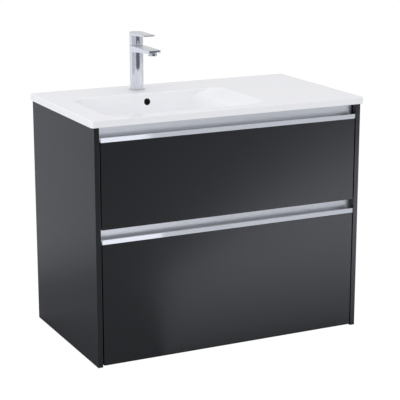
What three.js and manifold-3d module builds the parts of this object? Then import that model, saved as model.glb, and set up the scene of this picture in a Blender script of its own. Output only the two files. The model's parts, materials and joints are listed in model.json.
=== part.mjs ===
// Wall-hung bathroom vanity: a two-drawer cabinet under a one-piece ceramic washbasin with its bowl on the left
// and a shelf on the right, a single-lever mixer tap, a push-plug waste and a bottle trap.
// Millimetres, +Z up, +X to the right of somebody facing it, +Y into the wall. The origin is the middle of the
// footprint at the foot of the side panels.
import * as THREE from "three";
import { mergeVertices } from "three/addons/utils/BufferGeometryUtils.js";
import Module from "manifold-3d";

const wasm = await Module();
wasm.setup();

// ---------------------------------------------------------------- driving dimensions

const fitGap = 0.3; // between two pieces that are fixed to each other
const overlap = 1; // how far a cutter runs past the face it cuts

// Washbasin
const basinWidth = 800;
const basinDepth = 460;
const basinRim = 19; // height of the slab's visible edge
const basinCorner = 9; // plan radius of the slab's corners
const basinEdge = 2.5; // chamfer round the top and bottom of the slab's edge
const basinSideOverhang = 8.5;
const basinFrontOverhang = 5;
const bowlWidth = 464;
const bowlLeftShelf = 62; // slab edge to the bowl's left rim
const bowlFrontShelf = 36;
const bowlRearDeck = 134;
const bowlDrop = 113; // slab top to the floor of the bowl
const bowlWall = 11;
const bowlBeach = 52; // length of the shallow slope at the bowl's right end
const bowlBeachDrop = 15; // how far that slope falls
const overflowRadius = 9.5;
const overflowDrop = 25; // slab top to the middle of the overflow hole
const overflowDuct = 14; // thickness added behind the bowl for the overflow duct
const overflowDepth = 18;
const wasteSetback = 150; // bowl's rear rim to the middle of the waste

// Cabinet
const cabinetHeight = 636;
const board = 14;
const frontThickness = 16;
const frontGap = 3; // between a drawer front and a side panel
const frontFoot = 4; // foot of the side panels to the lower edge of the lower front
const wallSetback = 10; // rear rails to the wall
const railHeight = 85;
const upperRailDrop = 71; // top of the cabinet to the top of the upper rear rail
const tieBarHeight = 24;
const tieBarThickness = 2.5;

// Handle profile, one on each drawer front
const lipHeight = 12.5;
const lipProud = 1;
const profileWall = 1.6;
const recessDepth = 19; // front of the cabinet to the back of the finger recess
const coveRadius = 7;
const handReach = 25.5; // open height between a lip and what is above it
const recessTopGap = 3;
const profileFlange = 24; // how far the fixing flange reaches down behind the front

// Drawers
const upperFaceHeight = 240; // upper front with its lip; the lower one fills the rest
const boxBoard = 12;
const boxFloor = 10;
const lowerBoxSide = 190;
const boxLift = 12.5; // lower edge of a front to the underside of its drawer box
const bowlToBox = 30; // clear height between the bowl and the upper drawer's sides
const boxRearGap = 16; // drawer box to the rear rails
const notchSide = 55; // clear width each side of the trap
const drawerTravel = 380;

// Runners: three nested steel sections at each side of each drawer
const runnerWidth = 12.7;
const runnerHeight = 45;
const runnerSteel = 1.3;
const runnerPlay = 0.8; // between two nested sections
const runnerLift = 8; // underside of the box to the lower edge of its runner
const runnerShort = 3; // runner ends to the front and rear of the drawer box

// Mixer tap
const tapFromWall = 69.5;
const tapHoleRadius = 17.5;
const tapRadius = 19;
const tapShankRadius = 16;
const tapShankDrop = 44;
const tapRingWidth = 4;
const tapRingHeight = 3.5;
const spoutTop = 125; // deck to the flat top of the spout
const spoutReach = 126;
const spoutInset = 0.5; // spout's side faces inside the body's
const spoutRootThickness = 17;
const spoutTipThickness = 9;
const aeratorRadius = 12;
const aeratorHeight = 4;
const aeratorSetback = 15;
const aeratorRise = 4.4; // spout's lowest underside to the head of the aerator
const leverSeam = 1; // open joint between the body and the lever
const leverTop = 162;
const leverReach = 89;
const leverInset = 1.5;
const leverTipThickness = 3.5;
const leverRootThickness = 9;
const leverShell = 3;
const cartridgeRadius = 12.5;
const cartridgeTopGap = 10;
const nutRadius = 26;
const nutHeight = 9;
const washerHeight = 3;

// Waste and trap
const wasteHoleRadius = 23;
const flangeRadius = 32;
const flangeThickness = 2.5;
const wasteTubeRadius = 22;
const wasteBoreRadius = 18;
const wasteTubeDrop = 52; // bowl floor to the lower end of the tube
const plugRadius = 30;
const plugCrown = 5;
const plugStemRadius = 8;
const plugStemDrop = 26;
const trapNeckRadius = 16;
const trapNeckInsert = 12; // how far the trap's neck goes up into the waste
const trapBodyRadius = 26;
const trapBodyHeight = 46;
const trapCupRadius = 29;
const trapCupHeight = 38;
const trapNeckLength = 22;
const outletRadius = 16;
const outletWall = 2;

// ---------------------------------------------------------------- places worked out from them

const halfBasin = basinWidth / 2;
const frontEdge = -basinDepth / 2; // of the slab
const wall = basinDepth / 2;
const deck = cabinetHeight + fitGap + basinRim;
const slabUnder = cabinetHeight + fitGap;

const cabinetHalf = halfBasin - basinSideOverhang;
const innerHalf = cabinetHalf - board;
const frontHalf = innerHalf - frontGap;
const frontPlane = frontEdge + basinFrontOverhang; // front edges of the side panels
const frontBack = frontPlane + frontThickness;
const railFront = wall - wallSetback - board;

const bowlLeft = -halfBasin + bowlLeftShelf;
const bowlRight = bowlLeft + bowlWidth;
const bowlFront = frontEdge + bowlFrontShelf;
const bowlRear = wall - bowlRearDeck;
const bowlFloor = deck - bowlDrop;
const bowlUnder = bowlFloor - bowlWall;
const tapX = (bowlLeft + bowlRight) / 2; // the tap, the overflow and the waste stand on the bowl's middle
const tapY = wall - tapFromWall;
const wasteY = bowlRear - wasteSetback;

const upperFaceTop = cabinetHeight - handReach - 1; // the slab hides the last millimetre
const upperFrontFoot = upperFaceTop - upperFaceHeight;
const lowerFaceTop = upperFrontFoot - handReach;
const boxBack = railFront - boxRearGap;
const boxHalf = innerHalf - runnerWidth - fitGap;
const boxInner = boxHalf - boxBoard;
const lowerBoxFoot = frontFoot + board + fitGap + boxLift - 7;
const upperBoxFoot = upperFrontFoot + boxLift;
const upperBoxSide = bowlUnder - bowlToBox - upperBoxFoot;

// ---------------------------------------------------------------- materials

const finish = (color, roughness, metalness = 0) => new THREE.MeshStandardMaterial({ color, roughness, metalness });
const anthraciteLacquer = finish("#2f3035", 0.25);
const greyMelamine = finish("#8d8f92", 0.6);
const ceramic = finish("#eef0f3", 0.08);
const aluminium = finish("#c3c6cc", 0.3, 1);
const chrome = finish("#d9dbde", 0.08, 1);
const zincSteel = finish("#b4b7ba", 0.4, 1);
const whitePlastic = finish("#e9eaea", 0.45);
const blackRubber = finish("#1b1b1c", 0.8);

// ---------------------------------------------------------------- solids

/** The manifold-3d solid of a closed geometry. */
function solid(geometry) {
  const plain = geometry.clone();
  plain.deleteAttribute("normal");
  plain.deleteAttribute("uv");
  const merged = mergeVertices(plain, 1e-4);
  return new wasm.Manifold(
    new wasm.Mesh({
      numProp: 3,
      vertProperties: new Float32Array(merged.attributes.position.array),
      triVerts: new Uint32Array(merged.index.array),
    }),
  );
}

/** The geometry of a manifold-3d solid. */
function geometryOf(made) {
  const mesh = made.getMesh();
  const geometry = new THREE.BufferGeometry();
  geometry.setAttribute("position", new THREE.BufferAttribute(mesh.vertProperties, 3));
  geometry.setIndex(new THREE.BufferAttribute(mesh.triVerts, 1));
  geometry.computeVertexNormals();
  return geometry;
}

/** The first geometry with the others joined on. */
const join = (first, ...others) => geometryOf(others.reduce((sum, g) => sum.add(solid(g)), solid(first)));

/** The first geometry with the others cut away. */
const cut = (first, ...others) => geometryOf(others.reduce((sum, g) => sum.subtract(solid(g)), solid(first)));

/** A block between two corners. */
function block([x0, x1], [y0, y1], [z0, z1]) {
  return new THREE.BoxGeometry(x1 - x0, y1 - y0, z1 - z0).translate((x0 + x1) / 2, (y0 + y1) / 2, (z0 + z1) / 2);
}

const outline = (points) => new THREE.Shape(points.map(([a, b]) => new THREE.Vector2(a, b)));
const extrude = (shape, depth, curveSegments = 6) =>
  new THREE.ExtrudeGeometry(shape, { depth, bevelEnabled: false, curveSegments });

/** A (y, z) outline run along X. */
function alongX(shape, x0, x1, curveSegments) {
  const turn = new THREE.Matrix4().set(0, 0, 1, 0, 1, 0, 0, 0, 0, 1, 0, 0, 0, 0, 0, 1);
  return extrude(shape, x1 - x0, curveSegments).applyMatrix4(turn).translate(x0, 0, 0);
}

/** An (x, z) outline run along Y. */
const alongY = (shape, y0, y1) => extrude(shape, y1 - y0).rotateX(Math.PI / 2).translate(0, y1, 0);

/** An (x, y) outline run along Z. */
const alongZ = (shape, z0, z1, curveSegments) => extrude(shape, z1 - z0, curveSegments).translate(0, 0, z0);

/** A round bar standing on z0, of one radius at its foot and maybe another at its head. */
const bar = (x, y, z0, z1, radius, headRadius = radius, sides = 40) =>
  new THREE.CylinderGeometry(headRadius, radius, z1 - z0, sides).rotateX(Math.PI / 2).translate(x, y, (z0 + z1) / 2);

/** A round bar lying along Y. */
const barAlongY = (x, z, y0, y1, radius, sides = 32) =>
  new THREE.CylinderGeometry(radius, radius, y1 - y0, sides).translate(x, (y0 + y1) / 2, z);

/** A body turned about a vertical axis from (radius, z) points. */
const turned = (x, y, points, sides = 40) =>
  new THREE.LatheGeometry(points.map(([r, z]) => new THREE.Vector2(r, z)), sides).rotateX(Math.PI / 2).translate(x, y, 0);

/** The corner points of a round-cornered rectangle, anticlockwise, with the same count whatever its size. */
function roundedRing({ x0, x1, y0, y1, r }, steps) {
  const centres = [[x1 - r, y1 - r, 0], [x0 + r, y1 - r, 1], [x0 + r, y0 + r, 2], [x1 - r, y0 + r, 3]];
  return centres.flatMap(([cx, cy, quarter]) =>
    Array.from({ length: steps + 1 }, (_, i) => {
      const a = ((quarter + i / steps) * Math.PI) / 2;
      return [cx + r * Math.cos(a), cy + r * Math.sin(a)];
    }),
  );
}

/** A closed body through round-cornered rectangles, given from the lowest to the highest, each with its z. */
function loft(rings, steps = 7) {
  const count = 4 * (steps + 1);
  const position = rings.flatMap((ring) => roundedRing(ring, steps).flatMap(([x, y]) => [x, y, ring.z]));
  const index = [];
  for (let k = 0; k + 1 < rings.length; k++)
    for (let i = 0; i < count; i++) {
      const a = k * count + i;
      const b = k * count + ((i + 1) % count);
      index.push(a, b, b + count, a, b + count, a + count);
    }
  const top = (rings.length - 1) * count;
  for (let i = 1; i + 1 < count; i++) index.push(0, i + 1, i, top, top + i, top + i + 1);
  const geometry = new THREE.BufferGeometry();
  geometry.setAttribute("position", new THREE.Float32BufferAttribute(position, 3));
  geometry.setIndex(index);
  return geometry;
}

const vanity = new THREE.Group();

/** Adds one named piece. */
function piece(name, material, geometry) {
  const mesh = new THREE.Mesh(geometry, material);
  mesh.name = name;
  vanity.add(mesh);
}

const sides = [
  ["left", -1],
  ["right", 1],
];

/** A pair of numbers on one side of the cabinet, in rising order: a and b are distances from the middle plane. */
const onSide = (sign, a, b) => (sign < 0 ? [-Math.max(a, b), -Math.min(a, b)] : [Math.min(a, b), Math.max(a, b)]);

// ---------------------------------------------------------------- washbasin

// The bowl's inside from rim to floor: [depth below the deck, inset of the left, front and rear walls, inset of
// the right wall, corner radius]. The right wall starts as a shallow beach.
const bowlProfile = [
  [0, 0, 0, 62],
  [0.8, 1.6, 3.5, 62],
  [2.6, 2.9, 13, 62],
  [bowlBeachDrop * 0.5, 4.2, bowlBeach * 0.55, 60],
  [bowlBeachDrop, 6, bowlBeach, 58],
  [bowlBeachDrop + 11, 8.5, bowlBeach + 11, 56],
  [bowlDrop * 0.55, 17, bowlBeach + 22, 52],
  [bowlDrop * 0.82, 30, bowlBeach + 36, 46],
  [bowlDrop * 0.95, 48, bowlBeach + 54, 40],
  [bowlDrop - 1.5, 74, bowlBeach + 78, 36],
  [bowlDrop, 88, bowlBeach + 92, 34],
];

const bowlRing = ([drop, inset, rightInset, r], grow = 0, lower = 0) => ({
  x0: bowlLeft + inset - grow,
  x1: bowlRight - rightInset + grow,
  y0: bowlFront + inset * 0.8 - grow,
  y1: bowlRear - inset * 0.8 + grow,
  r: r + grow,
  z: deck - drop - lower,
});

function washbasin() {
  const slabRing = (inset, z) => ({
    x0: -halfBasin + inset,
    x1: halfBasin - inset,
    y0: frontEdge + inset,
    y1: wall - inset,
    r: basinCorner - inset,
    z,
  });
  const slab = loft([
    slabRing(basinEdge * 0.6, slabUnder),
    slabRing(0, slabUnder + basinEdge * 0.6),
    slabRing(0, deck - basinEdge),
    slabRing(basinEdge * 0.3, deck - basinEdge * 0.3),
    slabRing(basinEdge, deck),
  ]);
  const risingDrops = bowlProfile.slice().reverse();
  const inside = [...risingDrops.map((p) => bowlRing(p)), { ...bowlRing(bowlProfile[0]), z: deck + overlap }];
  const shell = risingDrops.filter(([drop]) => drop > bowlBeachDrop).map((p) => bowlRing(p, bowlWall * 0.85, bowlWall));
  const outside = [...shell, { ...shell[shell.length - 1], z: slabUnder + overlap }];
  const duct = block(
    [tapX - 2.2 * overflowRadius, tapX + 2.2 * overflowRadius],
    [bowlRear - 2 * bowlWall, bowlRear + bowlWall + overflowDuct],
    [deck - overflowDrop - 3.2 * overflowRadius, slabUnder + overlap],
  );
  return cut(
    join(slab, loft(outside), duct),
    loft(inside),
    bar(tapX, tapY, slabUnder - overlap, deck + overlap, tapHoleRadius),
    bar(tapX, wasteY, bowlUnder - overlap, bowlFloor + overlap, wasteHoleRadius),
    barAlongY(tapX, deck - overflowDrop, bowlRear - 2 * bowlWall, bowlRear + overflowDepth - 6, overflowRadius, 28),
  );
}

piece("basin", ceramic, washbasin());

// ---------------------------------------------------------------- carcass

for (const [side, sign] of sides)
  piece(
    `side_panel_${side}`,
    anthraciteLacquer,
    block(onSide(sign, innerHalf, cabinetHalf), [frontPlane, wall], [0, cabinetHeight]),
  );

const betweenSides = [-innerHalf + fitGap, innerHalf - fitGap];
piece("bottom_panel", anthraciteLacquer, block(betweenSides, [frontBack + 2, railFront + board], [frontFoot, frontFoot + board]));
piece(
  "rear_rail_upper",
  greyMelamine,
  block(betweenSides, [railFront, railFront + board], [cabinetHeight - upperRailDrop - railHeight, cabinetHeight - upperRailDrop]),
);
const lowerRailFoot = frontFoot + board + fitGap;
piece(
  "rear_rail_lower",
  greyMelamine,
  block(betweenSides, [railFront, railFront + board], [lowerRailFoot, lowerRailFoot + railHeight]),
);

// A steel bar ties the side panels together in the slot between the upper handle profile and the bowl.
const tieBarFront = frontPlane + recessDepth + profileWall + 1.5;
piece(
  "front_tie_bar",
  zincSteel,
  block(betweenSides, [tieBarFront, tieBarFront + tieBarThickness], [cabinetHeight - tieBarHeight - 2, cabinetHeight - 2]),
);

// ---------------------------------------------------------------- wall hangers

const hangerWidth = 26;
const hangerDepth = 58;
const hangerHeight = 52;
const hangerDrop = 12; // top of the cabinet to the top of a hanger
const hookThickness = 2.5;
const hookReach = 8;
const hookHeight = 22;

for (const [side, sign] of sides) {
  const head = cabinetHeight - hangerDrop;
  const hangerRear = wall - wallSetback;
  const across = onSide(sign, innerHalf - fitGap - hangerWidth, innerHalf - fitGap);
  piece(`hanger_housing_${side}`, whitePlastic, block(across, [hangerRear - hangerDepth, hangerRear], [head - hangerHeight, head]));
  // The hook leaves the back of the housing and turns down behind the wall plate.
  const start = hangerRear + fitGap;
  const hook = outline([
    [start, head - hookHeight],
    [start + hookThickness, head - hookHeight],
    [start + hookThickness, head - hookThickness],
    [start + hookReach - hookThickness, head - hookThickness],
    [start + hookReach - hookThickness, head - hookHeight * 0.6],
    [start + hookReach, head - hookHeight * 0.6],
    [start + hookReach, head],
    [start, head],
  ]);
  piece(`hanger_hook_${side}`, zincSteel, alongX(hook, across[0] + 5, across[1] - 5));
}

// ---------------------------------------------------------------- mixer tap

const tapRingRadius = tapRadius + tapRingWidth;

/** A bar seen from above: straight sides, a half-round rear on the tap's axis and small front corners. */
function bladePlan(width, reach, corner) {
  const half = width / 2;
  const plan = new THREE.Shape();
  plan.moveTo(half, 0);
  plan.absarc(0, 0, half, 0, Math.PI, false);
  plan.lineTo(-half, -reach + corner);
  plan.absarc(-half + corner, -reach + corner, corner, Math.PI, 1.5 * Math.PI, false);
  plan.lineTo(half - corner, -reach);
  plan.absarc(half - corner, -reach + corner, corner, 1.5 * Math.PI, 2 * Math.PI, false);
  plan.lineTo(half, 0);
  return plan;
}

/** A blade with a flat top at z, whose underside rises from the root to the tip. */
function blade({ width, reach, corner, top, root, tip, tipCut = 0 }) {
  const slab = alongZ(bladePlan(width, reach, corner), top - root, top, 8);
  const under = alongX(
    outline([
      [-reach - overlap, top - root - overlap],
      [width, top - root - overlap],
      [width, top - root - overlap / 2],
      [-width * 0.3, top - root - overlap / 2],
      [-reach + tipCut, top - tip],
      [-reach - overlap, top - tip + tipCut],
    ]),
    -width,
    width,
  );
  return cut(slab, under);
}

const atTap = (geometry) => geometry.translate(tapX, tapY, deck);

const aeratorY = -spoutReach + aeratorSetback;
const aeratorHead = spoutTop - spoutRootThickness + aeratorRise;

// The body is one casting: a column, a threaded shank, a spout and a round outlet under its tip.
function tapBody() {
  const column = bar(0, 0, fitGap, spoutTop, tapRadius, tapRadius, 48);
  const shank = bar(0, 0, -tapShankDrop, fitGap + overlap, tapShankRadius, tapShankRadius, 32);
  const spout = blade({
    width: 2 * (tapRadius - spoutInset),
    reach: spoutReach,
    corner: 4,
    top: spoutTop,
    root: spoutRootThickness,
    tip: spoutTipThickness,
    tipCut: 4,
  });
  const outlet = bar(0, aeratorY, aeratorHead + fitGap, spoutTop - spoutTipThickness + overlap, aeratorRadius, aeratorRadius, 32);
  return atTap(join(column, shank, spout, outlet));
}

// The lever is a cup over the cartridge with a flat blade along its top.
const leverFoot = spoutTop + leverSeam;
function tapLever() {
  const cup = bar(0, 0, leverFoot, leverTop, tapRadius, tapRadius, 48);
  const hand = blade({
    width: 2 * (tapRadius - leverInset),
    reach: leverReach,
    corner: 3,
    top: leverTop,
    root: leverRootThickness,
    tip: leverTipThickness,
    tipCut: 1,
  });
  const hollow = bar(0, 0, leverFoot - overlap, leverTop - leverRootThickness, tapRadius - leverShell, tapRadius - leverShell, 32);
  return atTap(cut(join(cup, hand), hollow));
}

piece("tap_body", chrome, tapBody());
piece("tap_lever", chrome, tapLever());
piece(
  "tap_cartridge",
  whitePlastic,
  atTap(bar(0, 0, spoutTop + fitGap, leverTop - leverRootThickness - cartridgeTopGap, cartridgeRadius, cartridgeRadius - 3, 24)),
);
piece(
  "tap_base_ring",
  chrome,
  atTap(
    turned(0, 0, [
      [tapRadius + fitGap, fitGap],
      [tapRingRadius, fitGap],
      [tapRingRadius, tapRingHeight * 0.5],
      [tapRingRadius - 1.5, tapRingHeight],
      [tapRadius + fitGap, tapRingHeight],
      [tapRadius + fitGap, fitGap],
    ], 48),
  ),
);

piece(
  "tap_aerator",
  whitePlastic,
  atTap(bar(0, aeratorY, aeratorHead - aeratorHeight, aeratorHead, aeratorRadius - 1, aeratorRadius, 32)),
);

/** A flat ring round the vertical axis at (x, y). */
const flatRing = (x, y, z0, z1, bore, radius, sides) =>
  turned(x, y, [[bore, z0], [radius, z0], [radius, z1], [bore, z1], [bore, z0]], sides);

/** A nut with flats round a round bore. */
const nut = (x, y, z0, z1, bore, radius, flats) =>
  cut(bar(x, y, z0, z1, radius, radius, flats), bar(x, y, z0 - overlap, z1 + overlap, bore));

const washerHead = slabUnder - fitGap;
piece("tap_washer", blackRubber, flatRing(tapX, tapY, washerHead - washerHeight, washerHead, tapShankRadius + fitGap, nutRadius, 32));
const tapNutHead = washerHead - washerHeight - fitGap;
piece("tap_nut", zincSteel, nut(tapX, tapY, tapNutHead - nutHeight, tapNutHead, tapShankRadius + fitGap, nutRadius, 6));

// ---------------------------------------------------------------- waste and trap

const flangeFoot = bowlFloor + fitGap;
const tubeFoot = bowlFloor - wasteTubeDrop;
piece(
  "waste_body",
  chrome,
  turned(tapX, wasteY, [
    [wasteBoreRadius, tubeFoot],
    [wasteTubeRadius, tubeFoot],
    [wasteTubeRadius, flangeFoot],
    [flangeRadius, flangeFoot],
    [flangeRadius - 1, flangeFoot + flangeThickness],
    [wasteBoreRadius, flangeFoot + flangeThickness],
    [wasteBoreRadius, tubeFoot],
  ]),
);
const plugFoot = flangeFoot + flangeThickness + fitGap;
piece(
  "waste_plug",
  chrome,
  turned(tapX, wasteY, [
    [0, plugFoot - plugStemDrop],
    [plugStemRadius, plugFoot - plugStemDrop],
    [plugStemRadius, plugFoot],
    [plugRadius, plugFoot],
    [plugRadius, plugFoot + plugCrown * 0.5],
    [plugRadius * 0.8, plugFoot + plugCrown * 0.85],
    [0, plugFoot + plugCrown],
  ]),
);
const wasteNutHead = bowlUnder - fitGap;
piece("waste_nut", zincSteel, nut(tapX, wasteY, wasteNutHead - nutHeight, wasteNutHead, wasteTubeRadius + fitGap, flangeRadius, 8));

const neckHead = tubeFoot + trapNeckInsert;
const trapHead = tubeFoot - trapNeckLength;
const trapFoot = trapHead - trapBodyHeight;
const outletZ = trapHead - trapBodyHeight / 2;
piece(
  "trap_body",
  whitePlastic,
  join(
    bar(tapX, wasteY, trapFoot, trapHead, trapBodyRadius, trapBodyRadius, 32),
    bar(tapX, wasteY, trapHead - overlap, neckHead, trapNeckRadius, trapNeckRadius, 24),
    barAlongY(tapX, outletZ, wasteY, wasteY + trapBodyRadius + 14, outletRadius + 3, 24),
  ),
);
piece(
  "trap_neck_nut",
  whitePlastic,
  nut(tapX, wasteY, tubeFoot - 14, tubeFoot - fitGap, trapNeckRadius + fitGap, trapBodyRadius - 1, 12),
);
piece("trap_cup", whitePlastic, bar(tapX, wasteY, trapFoot - fitGap - trapCupHeight, trapFoot - fitGap, trapCupRadius - 4, trapCupRadius, 16));
const outletStart = wasteY + trapBodyRadius + 14 + fitGap;
piece(
  "trap_outlet",
  whitePlastic,
  cut(
    barAlongY(tapX, outletZ, outletStart, wall, outletRadius),
    barAlongY(tapX, outletZ, outletStart - overlap, wall + overlap, outletRadius - outletWall),
  ),
);

// ---------------------------------------------------------------- drawers

/** The section of a handle profile: a lip over the front, a floor on its edge, a cove, a back wall and a flange. */
function handleSection(frontHead, lipHead, backHead) {
  const back = frontPlane + recessDepth;
  const floor = frontHead + fitGap + profileWall;
  const section = new THREE.Shape();
  section.moveTo(frontPlane - lipProud, frontHead);
  section.lineTo(frontPlane - lipProud + profileWall, frontHead);
  section.lineTo(frontPlane - lipProud + profileWall, frontHead + fitGap);
  section.lineTo(frontBack + fitGap, frontHead + fitGap);
  section.lineTo(frontBack + fitGap, frontHead - profileFlange);
  section.lineTo(frontBack + fitGap + profileWall, frontHead - profileFlange);
  section.lineTo(frontBack + fitGap + profileWall, frontHead + fitGap);
  section.lineTo(back + profileWall, frontHead + fitGap);
  section.lineTo(back + profileWall, backHead);
  section.lineTo(back, backHead);
  section.lineTo(back, floor + coveRadius);
  section.absarc(back - coveRadius, floor + coveRadius, coveRadius, 0, -Math.PI / 2, true);
  section.lineTo(frontPlane - lipProud + profileWall, floor);
  section.lineTo(frontPlane - lipProud + profileWall, lipHead);
  section.lineTo(frontPlane - lipProud, lipHead);
  section.closePath();
  return section;
}

/** A drawer's front and its handle profile. */
function drawerFace(name, foot, faceTop) {
  const frontHead = faceTop - lipHeight;
  piece(`${name}_front`, anthraciteLacquer, block([-frontHalf, frontHalf], [frontPlane, frontBack], [foot, frontHead - fitGap]));
  const profile = handleSection(frontHead, faceTop, faceTop + handReach - recessTopGap);
  piece(`${name}_handle`, aluminium, alongX(profile, -frontHalf, frontHalf));
}

// The box stands clear of the handle's flange, which lies behind the front.
const boxFront = frontBack + 2 * fitGap + profileWall;

/** The two sides of a drawer box. */
function boxSides(name, foot, height) {
  for (const [side, sign] of sides)
    piece(`${name}_side_${side}`, greyMelamine, block(onSide(sign, boxInner, boxHalf), [boxFront, boxBack], [foot, foot + height]));
}

const floorHalf = boxInner - fitGap;
const floorLift = 6; // lower edge of the box's sides to the underside of its floor

// Lower drawer: a plain box.
drawerFace("lower_drawer", frontFoot, lowerFaceTop);
boxSides("lower_drawer", lowerBoxFoot, lowerBoxSide);
const lowerFloor = lowerBoxFoot + floorLift;
piece("lower_drawer_floor", greyMelamine, block([-floorHalf, floorHalf], [boxFront, boxBack], [lowerFloor, lowerFloor + boxFloor]));
piece(
  "lower_drawer_back",
  greyMelamine,
  block([-floorHalf, floorHalf], [boxBack - boxBoard, boxBack], [lowerFloor + boxFloor + fitGap, lowerBoxFoot + lowerBoxSide]),
);

// Upper drawer: its floor has a notch, open at the rear, that passes the trap, with three boards round it.
drawerFace("upper_drawer", upperFrontFoot, upperFaceTop);
boxSides("upper_drawer", upperBoxFoot, upperBoxSide);
const notchLeft = tapX - trapCupRadius - notchSide;
const notchRight = tapX + trapCupRadius + notchSide;
const notchFront = wasteY - trapCupRadius - notchSide;
const upperFloor = upperBoxFoot + floorLift;
const upperFloorTop = upperFloor + boxFloor;
piece(
  "upper_drawer_floor",
  greyMelamine,
  alongZ(
    outline([
      [-floorHalf, boxFront],
      [floorHalf, boxFront],
      [floorHalf, boxBack],
      [notchRight, boxBack],
      [notchRight, notchFront],
      [notchLeft, notchFront],
      [notchLeft, boxBack],
      [-floorHalf, boxBack],
    ]),
    upperFloor,
    upperFloorTop,
  ),
);
const upperWalls = [upperFloorTop + fitGap, upperBoxFoot + upperBoxSide];
piece("upper_drawer_back_left", greyMelamine, block([-floorHalf, notchLeft], [boxBack - boxBoard, boxBack], upperWalls));
piece("upper_drawer_back_right", greyMelamine, block([notchRight, floorHalf], [boxBack - boxBoard, boxBack], upperWalls));
const notchBoards = [notchFront - boxBoard, boxBack - boxBoard - fitGap];
piece("upper_drawer_notch_left", greyMelamine, block([notchLeft - boxBoard, notchLeft], notchBoards, upperWalls));
piece("upper_drawer_notch_right", greyMelamine, block([notchRight, notchRight + boxBoard], notchBoards, upperWalls));
piece(
  "upper_drawer_notch_front",
  greyMelamine,
  block([notchLeft + fitGap, notchRight - fitGap], [notchFront - boxBoard, notchFront], upperWalls),
);

// ---------------------------------------------------------------- runners

/** A steel channel: webAt and lipAt are distances from the middle plane, and it opens towards lipAt. */
function channel(sign, webAt, lipAt, z0, z1) {
  const steel = webAt > lipAt ? runnerSteel : -runnerSteel;
  const points = [
    [webAt, z0],
    [lipAt, z0],
    [lipAt, z0 + runnerSteel],
    [webAt - steel, z0 + runnerSteel],
    [webAt - steel, z1 - runnerSteel],
    [lipAt, z1 - runnerSteel],
    [lipAt, z1],
    [webAt, z1],
  ].map(([x, z]) => [sign * x, z]);
  return outline(points);
}

/** The three nested sections at each side of a drawer. */
function runners(name, boxFoot) {
  const z0 = boxFoot + runnerLift;
  const z1 = z0 + runnerHeight;
  const nest = runnerSteel + runnerPlay;
  const cabinetWeb = innerHalf - fitGap;
  const length = [boxFront + runnerShort, boxBack - runnerShort];
  for (const [side, sign] of sides) {
    const drawerWeb = boxHalf + fitGap;
    piece(`${name}_rail_cabinet_${side}`, zincSteel, alongY(channel(sign, cabinetWeb, drawerWeb + nest, z0, z1), ...length));
    piece(`${name}_rail_middle_${side}`, zincSteel, alongY(channel(sign, cabinetWeb - nest, drawerWeb + nest, z0 + nest, z1 - nest), ...length));
    piece(
      `${name}_rail_drawer_${side}`,
      zincSteel,
      alongY(channel(sign, drawerWeb, cabinetWeb - 2 * nest, z0 + 2 * nest, z1 - 2 * nest), ...length),
    );
  }
}

runners("lower_drawer", lowerBoxFoot);
runners("upper_drawer", upperBoxFoot);

export default vanity;
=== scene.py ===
"""A wall-hung bathroom vanity: lacquered two-drawer cabinet, ceramic basin top, tap, waste and trap."""
import json
import math

import bmesh
import bpy
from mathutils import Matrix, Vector


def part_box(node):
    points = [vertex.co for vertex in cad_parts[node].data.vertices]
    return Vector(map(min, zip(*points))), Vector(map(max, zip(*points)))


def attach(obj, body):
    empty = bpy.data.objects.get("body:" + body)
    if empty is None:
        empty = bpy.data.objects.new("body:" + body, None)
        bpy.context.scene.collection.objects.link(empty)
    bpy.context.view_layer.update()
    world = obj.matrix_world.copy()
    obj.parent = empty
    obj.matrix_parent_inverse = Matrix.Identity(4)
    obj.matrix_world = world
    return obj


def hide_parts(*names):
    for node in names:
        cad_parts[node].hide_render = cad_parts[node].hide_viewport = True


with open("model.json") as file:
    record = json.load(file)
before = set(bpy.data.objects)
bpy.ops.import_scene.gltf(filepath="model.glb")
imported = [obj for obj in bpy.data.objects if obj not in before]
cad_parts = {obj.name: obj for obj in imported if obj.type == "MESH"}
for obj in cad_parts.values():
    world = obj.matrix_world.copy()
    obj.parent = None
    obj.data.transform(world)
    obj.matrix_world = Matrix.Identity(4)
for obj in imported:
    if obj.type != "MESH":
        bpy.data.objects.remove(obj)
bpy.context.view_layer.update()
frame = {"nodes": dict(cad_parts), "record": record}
cad = frame["nodes"]

MM = 0.001
GAP = 0.3 * MM  # between pieces that touch
AXIS = 0.3 * MM  # a turned body closes at its axis in a small facet of this radius
SHARP_DEGREES = 32  # edges sharper than this stay crisp
WELD = 0.001 * MM  # points closer than this are one


# ------------------------------------------------------------------ mesh helpers


def shape(name, shell, finish, body, stands_for=(), sharp_degrees=SHARP_DEGREES):
    """A piece from (points, faces) in metres, smooth except along edges sharper than the angle given."""
    points, faces = shell
    mesh = bpy.data.meshes.new(name)
    mesh.from_pydata([tuple(p) for p in points], [], faces)
    mesh.validate()
    made = bmesh.new()
    made.from_mesh(mesh)
    bmesh.ops.remove_doubles(made, verts=made.verts, dist=WELD)
    bmesh.ops.recalc_face_normals(made, faces=made.faces)
    made.to_mesh(mesh)
    made.free()
    piece = bpy.data.objects.new(name, mesh)
    bpy.context.scene.collection.objects.link(piece)
    dress(piece, finish, body, stands_for, sharp_degrees)
    return piece


def dress(piece, finish, body, stands_for=(), sharp_degrees=SHARP_DEGREES):
    """Gives a piece its shading, finish, body and the CAD nodes that it stands for."""
    soften(piece, sharp_degrees)
    piece.data.materials.clear()
    piece.data.materials.append(finish)
    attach(piece, body)
    if stands_for:
        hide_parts(*stands_for)


def soften(piece, sharp_degrees):
    """Smooth shading that leaves whole flat faces flat."""
    piece.data.shade_smooth()
    piece.data.set_sharp_from_angle(angle=math.radians(sharp_degrees))
    face_normals = piece.modifiers.new("flat faces stay flat", "WEIGHTED_NORMAL")
    face_normals.weight, face_normals.keep_sharp = 100, True


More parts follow.
